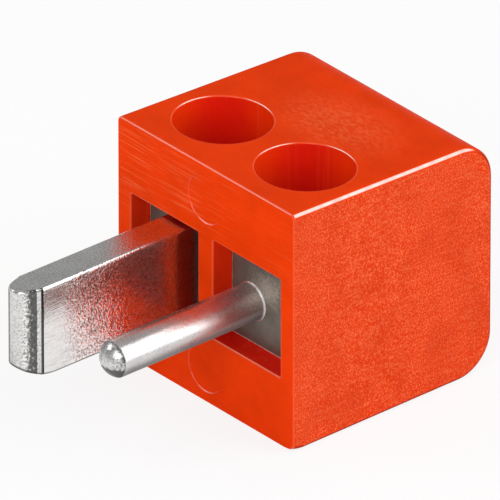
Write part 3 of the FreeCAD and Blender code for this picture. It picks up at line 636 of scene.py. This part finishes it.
def housing_openings(s):
    """Everything that is cut from the slab, as separate tools."""
    for side in (-1, 1):
        ends = sorted((side * s.chamber_near, side * s.chamber_far))
        chamber = bmesh.new()
        add_box(chamber, (ends[0], -PAST, s.chamber_floor),
                (ends[1], s.chamber_depth, s.chamber_ceiling))
        lengthwise = [edge for edge in chamber.edges if span(edge, 1) > s.chamber_depth / 2]
        bevel(chamber, lengthwise, s.chamber_corner, CORNER_STEPS)
        yield chamber
        access = bmesh.new()
        add_round_bar(access, (hole_line(s, side), s.screw_setback, 0), "Z", s.access_radius,
                      s.chamber_ceiling - PAST, s.top + PAST)
        yield access
        entry = bmesh.new()
        add_round_bar(entry, (hole_line(s, side), 0, s.entry_level), "Y", s.entry_radius,
                      s.chamber_depth - PAST, s.depth + PAST)
        yield entry
        mark = bmesh.new()
        add_round_bar(mark, (0, 0, side * s.mark_level), "Y", s.mark_radius + PAST, -PAST,
                      s.mark_depth, end_radius=s.mark_radius - s.mark_depth)
        yield mark


def from_screw(p, s):
    """How far a point is from the axis of the screwdriver hole on its side."""
    return math.hypot(abs(p.x) - hole_line(s), p.y - s.screw_setback)


def from_entry(p, s):
    """How far a point is from the axis of the wire entry on its side."""
    return math.hypot(abs(p.x) - hole_line(s), p.z - s.entry_level)


def in_chamber(p, s):
    """Whether a point is on a wall or the mouth of a chamber, as far as its sides tell."""
    return (abs(p.x) < s.chamber_far + NEAR
            and s.chamber_floor - NEAR < p.z < s.chamber_ceiling + NEAR)


def paint_housing(bm, s):
    """Gives each face the finish of its side; the rims and lips that are rounded later are left."""
    below_lips = s.top - 0.3 * MM
    for face in bm.faces:
        centre = face.calc_center_median()
        wall = s.half_width - centre.y * math.tan(s.side_draft)
        on_wall = abs(abs(centre.x) - wall) < 0.1 * MM
        front = centre.y < s.front_edge_radius
        chamber = (s.front_edge_radius < centre.y < s.chamber_depth + NEAR
                   and in_chamber(centre, s))
        access = (from_screw(centre, s) < s.access_radius + NEAR
                  and s.chamber_ceiling < centre.z < below_lips and abs(face.normal.z) < 0.5)
        entry = (from_entry(centre, s) < s.entry_radius + NEAR
                 and s.chamber_depth < centre.y < s.depth - s.entry_lead / 2)
        if chamber or access or entry:
            face.material_index = INSIDE
        elif abs(face.normal.x) > FLAT and on_wall:
            face.material_index = GRAINED
        elif front and face.normal.y < -FLAT:
            face.material_index = FRONT
        elif front and abs(face.normal.y) > 0.1 and face.normal.z > -0.9:
            face.material_index = RIMS


def round_mouths(bm, s):
    """Rounds the mouths of the chambers and screwdriver holes and eases the wire entries."""

    def folded(test):
        return [edge for edge in edges_where(bm, test)
                if len(edge.link_faces) == 2 and edge.calc_face_angle(0) > FOLD]

    def at_chamber(p):
        return abs(p.y) < NEAR and s.chamber_near - NEAR < abs(p.x) and in_chamber(p, s)

    def at_access(p):
        return (abs(from_screw(p, s) - s.access_radius) < 5 * NEAR
                and p.z > s.top / 2 + s.chamber_ceiling / 2)

    def at_entry(p):
        return abs(from_entry(p, s) - s.entry_radius) < 5 * NEAR and abs(p.y - s.depth) < NEAR

    for face in bevel(bm, folded(at_chamber), s.chamber_rim, RIM_STEPS):
        face.material_index = RIMS
    for face in bevel(bm, folded(at_access), s.access_rim, RIM_STEPS):
        face.material_index = LIPS
    bevel(bm, folded(at_entry), s.entry_lead, 1)


class PLUG_OT_housing(Operator):
    """Build the moulded housing with its chambers, screwdriver holes and wire entries"""
    bl_idname = "plug.housing"
    bl_label = "Housing"

    def execute(self, context):
        s = context.scene.plug_housing
        housing = to_object(housing_slab(s), "moulded_housing")
        for tool in housing_openings(s):
            combine(housing, tool, "DIFFERENCE")
        bm = edit(housing)
        paint_housing(bm, s)
        round_mouths(bm, s)
        finish_mesh(housing, bm, sharp_degrees=32)
        give_materials(
            # The smooth faces and the grained sides take copies of the plastic colour darkened to
            # 0.92 and 0.80: painted shade that sets how bright each side looks under the lamps
            housing,
            plastic("plastic_smooth", s, scaled(s.plastic, 0.92), grain=0.2, specks=0.05,
                    # Painted sheen on the top
                    sheen_patch=0.34, specular=0.015,
                    # Painted highlights along the two top side edges
                    highlight_edges=((HIGH_RIGHT, 0.95), (HIGH_LEFT, 0.95)),
                    # Painted shade along the lower right and back right edges
                    painted_shade_edges=((LOW_RIGHT, 0.8), (BACK_RIGHT, 0.7))),
            plastic("plastic_front", s, s.plastic, grain=0.1, specks=0.02, streaks=1.0,
                    specular=0.01),
            plastic("plastic_grained", s, scaled(s.plastic, 0.80), grain=1.0, specks=0.45,
                    wisps=0.12),
            # Painted shade inside the openings, with painted light on some walls
            plastic("plastic_inside", s, s.plastic_deep, specks=0.03, drag=0.1, lighter=0.75),
            # Rims and lips: a paler colour, painted highlight, with real gloss
            plastic("plastic_rims", s, s.plastic_rim, roughness=0.20, specular=0.35,
                    # Painted highlight along the top front edges of the rims
                    highlight_edges=((HIGH_FRONT, 0.25),)),
            plastic("plastic_lips", s, s.plastic_rim, roughness=0.20, specular=0.35,
                    # Painted highlights on the lips of the screwdriver holes
                    highlight_edges=((LIP_LEFT, 1.0), (HIGH_FRONT, 1.0))))
        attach(housing, "plug")
        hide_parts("housing")
        return {"FINISHED"}


# The contacts

def add_block(bm, c, side):
    """A terminal block with eased edges."""
    ends = sorted((side * c.block_near, side * c.block_far))
    verts = add_box(bm, (ends[0], c.block_front, c.block_bottom),
                    (ends[1], c.block_back, c.block_top))
    edges = list({edge for vert in verts for edge in vert.link_edges})
    bevel(bm, edges, c.block_edge, RIM_STEPS)


def block_holes(s, c, side):
    """The tapped hole and the wire hole of a block, as separate tools."""
    tapped = bmesh.new()
    add_round_bar(tapped, (hole_line(s, side), s.screw_setback, 0), "Z", c.tapped_radius,
                  c.tapped_floor, c.block_top + PAST, TAPPED_STEPS)
    yield tapped
    wire = bmesh.new()
    add_round_bar(wire, (hole_line(s, side), 0, s.entry_level), "Y", c.wire_radius, c.wire_end,
                  c.block_back + PAST, WIRE_STEPS)
    yield wire


def contact_mesh(s, c, side, name, bar, more_tools=()):
    """A block joined to its blade or pin and cut; returns the object and its mesh to edit."""
    block = bmesh.new()
    add_block(block, c, side)
    contact = to_object(block, name)
    combine(contact, bar, "UNION")
    for tool in (*block_holes(s, c, side), *more_tools):
        combine(contact, tool, "DIFFERENCE")
    return contact, edit(contact)


def blade_bar(c):
    """The blade: a bar with a tapered round nose, eased edges and a curve under its tip."""
    bm = bmesh.new()
    half, level = c.blade_thickness / 2, c.blade_height / 2
    tip = -(c.blade_length + c.nose_length)
    root = c.block_front + 2 * c.block_edge
    # The tapered sides touch the nose's circle; corner is how far out they meet the tip's plane.
    centre_y = tip + c.nose_radius
    to_centre = math.hypot(half, -c.blade_length - centre_y)
    lean = math.acos(c.nose_radius / to_centre) - math.atan2(-c.blade_length - centre_y, half)
    touch = Vector((c.nose_radius * math.cos(lean), centre_y - c.nose_radius * math.sin(lean)))
    slope = (half - touch.x) / (-c.blade_length - touch.y)
    corner = touch.x - slope * (touch.y - tip)
    outline = [(-half, root), (-half, -c.blade_length), (-corner, tip), (corner, tip),
               (half, -c.blade_length), (half, root)]
    floor = bm.faces.new([bm.verts.new((x, y, -level)) for x, y in outline])
    grown = bmesh.ops.extrude_face_region(bm, geom=[floor])["geom"]
    risen = [item for item in grown if isinstance(item, bmesh.types.BMVert)]
    bmesh.ops.translate(bm, vec=(0, 0, c.blade_height), verts=risen)
    bmesh.ops.recalc_face_normals(bm, faces=bm.faces[:])
    front = [edge for edge in edges_where(bm, lambda p: p.y < tip + NEAR) if span(edge, 2) > MM]
    short_of_middle = 0.998
    bevel(bm, front, corner * short_of_middle, NOSE_STEPS)
    rims = [edge for edge in bm.edges
            if span(edge, 2) < NEAR and abs(abs(edge.verts[0].co.z) - level) < NEAR
            and all(vert.co.y < root - NEAR or abs(vert.co.x) > half - NEAR
                    for vert in edge.verts)
            and not all(vert.co.y > root - NEAR for vert in edge.verts)]
    bevel(bm, rims, c.blade_edge, CORNER_STEPS, clamp=False)
    # The cuts that let the underside bend stop short of the nose, which has facets enough.
    start = tip + c.lead_length
    for step in range(LEAD_STEPS):
        cut_through(bm, (0, start - step * (c.lead_length * 0.86) / LEAD_STEPS, 0), (0, 1, 0))
    for vert in bm.verts:
        back = start - vert.co.y
        if vert.co.z < -level + c.blade_edge + NEAR and back > 0:
            reach = min(back, c.lead_length)
            vert.co.z += c.lead_radius - math.sqrt(c.lead_radius ** 2 - reach ** 2)
    bmesh.ops.translate(bm, vec=(c.blade_middle, 0, 0), verts=bm.verts[:])
    return bm


def creases(c):
    """The groove on each side of the blade where the nose begins."""
    for side in (-1, 1):
        inner = c.blade_middle + side * (c.blade_thickness / 2 - c.crease_depth)
        ends = sorted((inner, inner + side * PAST))
        groove = bmesh.new()
        add_box(groove, (ends[0], -c.blade_length - c.crease_width / 2, -c.blade_height),
                (ends[1], -c.blade_length + c.crease_width / 2, c.blade_height))
        yield groove


class PLUG_OT_blade_contact(Operator):
    """Build the flat blade with its terminal block"""
    bl_idname = "plug.blade_contact"
    bl_label = "Blade contact"

    def execute(self, context):
        s, c = context.scene.plug_housing, context.scene.plug_contacts
        contact, bm = contact_mesh(s, c, -1, "blade_with_block", blade_bar(c), creases(c))
        for face in bm.faces:
            if face.calc_center_median().y > c.block_front - NEAR:
                face.material_index = BLADE_BLOCK
            elif face.normal.z > 0.9:
                face.material_index = POLISHED
        finish_mesh(contact, bm, sharp_degrees=24)
        # The casting's bright grains are painted glints
        cast = [(-12.5, 0.35), (-12.25, 0.45), (-12.15, 1.0), (-11.7, 1.0), (-11.2, 0.4),
                (-11.0, 0.12), (-9.8, 0.18), (-8.4, 1.0), (-6.5, 0.9), (-4.0, 0.45), (0.0, 0.3)]
        # The brushed zone is made lighter: painted reflection
        brushed = [(-11.0, 0.0), (-10.9, 1.0), (-9.4, 0.9), (-7.8, 0.0)]
        # Painted dark reflections in bands across the nose
        dull = [(-12.3, 0.0), (-12.15, 0.1), (-11.92, 0.5), (-11.75, 0.75), (-11.40, 0.8),
                (-11.36, 0.2), (-11.15, 0.1), (-11.13, 1.0), (-10.97, 1.0), (-10.95, 0.0)]
        # Painted shade near the blade's root: darkened and made matt towards the mating face
        matt_and_shade = (0.75, [(-5.5, 0.0), (-3.5, 0.3), (-2.0, 0.5), (-0.9, 0.35), (0.3, 0.2)])
        give_materials(
            contact,
            plated("plating_cast", c, c.metal, 0.14, cast=cast, brushed=brushed, dull=dull,
                   # Painted dark reflection under the nose
                   darkened_side=(UNDER_TIP, -11.3), matt_and_shade=matt_and_shade,
                   # Painted dark reflections along the blade's bottom and the nose's left
                   edges=((DOWN, 0.0, 0.15, 0.7), (FRONT_LEFT, 0.84, 0.95, 0.7))),
            plated("plating_smooth", c, c.metal, 0.17, grain=1.1),
            block_plating("plating_block", c, -c.block_far))
        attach(contact, "plug")
        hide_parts("blade_contact")
        return {"FINISHED"}


def grow_to(bm, vert, **place):
    """Draws an edge from a vertex to a new one that differs from it in x or y; returns that."""
    new = bmesh.ops.extrude_vert_indiv(bm, verts=[vert])["verts"][0]
    for axis, where in place.items():
        setattr(new.co, axis, where)
    return new


def swing(bm, vert, centre, angle, steps):
    """Draws an arc from a vertex about a centre in the profile's plane; returns its end."""
    swept = bmesh.ops.spin(bm, geom=[vert], cent=centre, axis=(0, 0, 1), angle=angle,
                           steps=steps)["geom_last"]
    return next(item for item in swept if isinstance(item, bmesh.types.BMVert))


def pin_bar(c):
    """The pin: a profile spun about its axis, with a domed nose and a small flare at its root."""
    bm = bmesh.new()
    dome_radius = (c.pin_radius ** 2 + c.pin_dome ** 2) / (2 * c.pin_dome)
    tip = -(c.pin_length + c.pin_dome)
    flare = 0.16 * MM
    shaft_end = c.block_front - flare
    end = swing(bm, bm.verts.new((0, tip, 0)), (0, tip + dome_radius, 0),
                math.asin(c.pin_radius / dome_radius), DOME_STEPS)
    end = grow_to(bm, end, y=shaft_end)
    end = swing(bm, end, (c.pin_radius + flare, shaft_end, 0), -math.pi / 2, FLARE_STEPS)
    end = grow_to(bm, end, y=c.block_front + 2 * c.block_edge)
    grow_to(bm, end, x=0)
    bmesh.ops.spin(bm, geom=bm.verts[:] + bm.edges[:], cent=(0, 0, 0), axis=(0, 1, 0),
                   angle=2 * math.pi, steps=PIN_STEPS, use_merge=True)
    bmesh.ops.remove_doubles(bm, verts=bm.verts[:], dist=MERGE)
    bmesh.ops.translate(bm, vec=(c.pin_middle, 0, c.pin_level), verts=bm.verts[:])
    return bm


class PLUG_OT_pin_contact(Operator):
    """Build the round pin with its terminal block"""
    bl_idname = "plug.pin_contact"
    bl_label = "Pin contact"

    def execute(self, context):
        s, c = context.scene.plug_housing, context.scene.plug_contacts
        contact, bm = contact_mesh(s, c, 1, "pin_with_block", pin_bar(c))
        for face in bm.faces:
            if face.calc_center_median().y > c.block_front - 0.01 * MM:
                face.material_index = PIN_BLOCK
        finish_mesh(contact, bm, sharp_degrees=22)
        # Near the root the casting's glints are a painted reflection of the lamp
        cast = [(-9.9, 0.3), (-9.3, 0.3), (-9.2, 0.0), (-3.5, 0.0), (-1.8, 0.15), (1.3, 0.3)]
        # Painted dark reflections in bands round the dome
        dull = [(-9.95, 0.15), (-9.8, 0.3), (-9.6, 0.4), (-9.36, 0.45), (-9.30, 0.75),
                (-9.24, 0.1), (-9.1, 0.0)]
        matt_alone = 0.0
        matt_and_shade = (matt_alone, [(-4.0, 0.0), (-1.5, 0.3), (1.3, 0.7)])
        # Place of the painted reflection of the pin on its block
        reflection_at = (c.pin_middle + 1.5 * MM, c.pin_level + 1.3 * MM)
        give_materials(
            contact,
            plated("plating_pin", c, c.metal, 0.27, grain=0.4, cast=cast, dull=dull,
                   # Painted dark reflections under the dome and along the pin's lower right side
                   darkened_side=(DOWN, -9.2), matt_and_shade=matt_and_shade, edges=((LOW_RIGHT, 0.55, 0.92, 0.75),)),
            block_plating("plating_pin_block", c, c.block_near, painted_reflection=reflection_at))
        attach(contact, "plug")
        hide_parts("pin_contact")
        return {"FINISHED"}


class PLUG_OT_clamp_screws(Operator):
    """Give the two slotted clamp screws their turned steel finish"""
    bl_idname = "plug.clamp_screws"
    bl_label = "Clamp screws"

    def execute(self, context):
        c = context.scene.plug_contacts
        steel = plated("steel_turned", c, c.steel, 0.26, grain=0.6)
        for name in ("blade_clamp_screw", "pin_clamp_screw"):
            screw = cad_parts[name]
            screw.data.materials.clear()
            screw.data.materials.append(steel)
        return {"FINISHED"}


# The stage

def aim(lamp_or_camera, target):
    direction = Vector(target) - lamp_or_camera.location
    lamp_or_camera.rotation_euler = direction.to_track_quat("-Z", "Y").to_euler()


def softbox(name, direction, distance, width, height, power):
    """A rectangular lamp that faces the plug."""
    lamp = bpy.data.lights.new(name, "AREA")
    lamp.shape = "RECTANGLE"
    lamp.size, lamp.size_y = width, height
    lamp.energy = power
    holder = bpy.data.objects.new(name, lamp)
    holder.location = Vector(LAMP_AIM) + Vector(direction).normalized() * distance
    bpy.context.scene.collection.objects.link(holder)
    aim(holder, LAMP_AIM)


def floor_paint(t):
    """White that glows to the camera and in reflections, and is a matt floor to everything else."""
    material = bpy.data.materials.new("floor_white")
    tree = Tree(material)
    tone = tree.blend(tree.noise(12.0), scaled(t.floor_colour, 0.995), t.floor_colour)
    matt = tree.add("ShaderNodeBsdfDiffuse", {"Color": tone}).outputs["BSDF"]
    ray = tree.add("ShaderNodeLightPath").outputs
    seen = tree.math("MAXIMUM", ray["Is Camera Ray"],
                     tree.math("MAXIMUM", ray["Is Glossy Ray"], ray["Is Transmission Ray"]))
    white = tree.add("ShaderNodeEmission", {"Strength": 1.0}).outputs[0]
    share = tree.times(seen, 0.84)
    tree.finish(tree.add("ShaderNodeMixShader", {0: share, 1: matt, 2: white}).outputs[0])
    return material


class PLUG_OT_stage(Operator):
    """Set the floor, the soft studio lamps and the camera"""
    bl_idname = "plug.stage"
    bl_label = "Stage"

    def execute(self, context):
        t, s = context.scene.plug_stage, context.scene.plug_housing
        bm = bmesh.new()
        just_below = Matrix.Translation((0, 0, s.bottom - 0.02 * MM))
        bmesh.ops.create_grid(bm, x_segments=2, y_segments=2, size=FLOOR_REACH,
                              matrix=just_below)
        floor = to_object(bm, "studio_floor")
        give_materials(floor, floor_paint(t))

        world = bpy.data.worlds.new("studio_surroundings")
        context.scene.world = world
        sky = Tree(world)
        plain = sky.add("ShaderNodeBackground", {"Color": (1, 1, 1, 1), "Strength": t.sky_level})
        sky.finish(plain.outputs[0], "ShaderNodeOutputWorld")
        for lamp in LAMPS:
            softbox(*lamp)

        camera_data = bpy.data.cameras.new("product_camera")
        camera_data.lens = LENS
        camera_data.sensor_width = SENSOR
        camera_data.clip_start = 0.01
        camera_data.clip_end = 20
        camera = bpy.data.objects.new("product_camera", camera_data)
        level = math.cos(t.elevation)
        direction = Vector((math.sin(t.azimuth) * level, -math.cos(t.azimuth) * level,
                            math.sin(t.elevation)))
        camera.location = AIM_POINT + direction * t.distance
        context.scene.collection.objects.link(camera)
        aim(camera, AIM_POINT)
        context.scene.camera = camera
        context.scene.view_settings.view_transform = "Standard"
        return {"FINISHED"}


class PLUG_PT_panel(Panel):
    """Lists the pieces of the plug and what can be changed on them"""
    bl_label = "Speaker plug"
    bl_idname = "PLUG_PT_panel"
    bl_space_type = "VIEW_3D"
    bl_region_type = "UI"
    bl_category = "Plug"

    def draw(self, context):
        scene = context.scene
        for title, group, operators in (
                ("Housing", scene.plug_housing, (PLUG_OT_housing,)),
                ("Contacts", scene.plug_contacts,
                 (PLUG_OT_blade_contact, PLUG_OT_pin_contact, PLUG_OT_clamp_screws)),
                ("Stage", scene.plug_stage, (PLUG_OT_stage,))):
            box = self.layout.box()
            box.label(text=title)
            for key in group.__annotations__:
                box.prop(group, key)
            for operator in operators:
                box.operator(operator.bl_idname)


CLASSES = (HousingSettings, ContactSettings, StageSettings, PLUG_OT_housing,
           PLUG_OT_blade_contact, PLUG_OT_pin_contact, PLUG_OT_clamp_screws, PLUG_OT_stage,
           PLUG_PT_panel)


def register():
    for item in CLASSES:
        bpy.utils.register_class(item)
    bpy.types.Scene.plug_housing = PointerProperty(type=HousingSettings)
    bpy.types.Scene.plug_contacts = PointerProperty(type=ContactSettings)
    bpy.types.Scene.plug_stage = PointerProperty(type=StageSettings)


def unregister():
    del bpy.types.Scene.plug_stage
    del bpy.types.Scene.plug_contacts
    del bpy.types.Scene.plug_housing
    for item in reversed(CLASSES):
        bpy.utils.unregister_class(item)


def main():
    register()
    bpy.ops.plug.housing()
    bpy.ops.plug.blade_contact()
    bpy.ops.plug.pin_contact()
    bpy.ops.plug.clamp_screws()
    bpy.ops.plug.stage()
    bpy.context.view_layer.update()


if __name__ == "__main__":
    main()
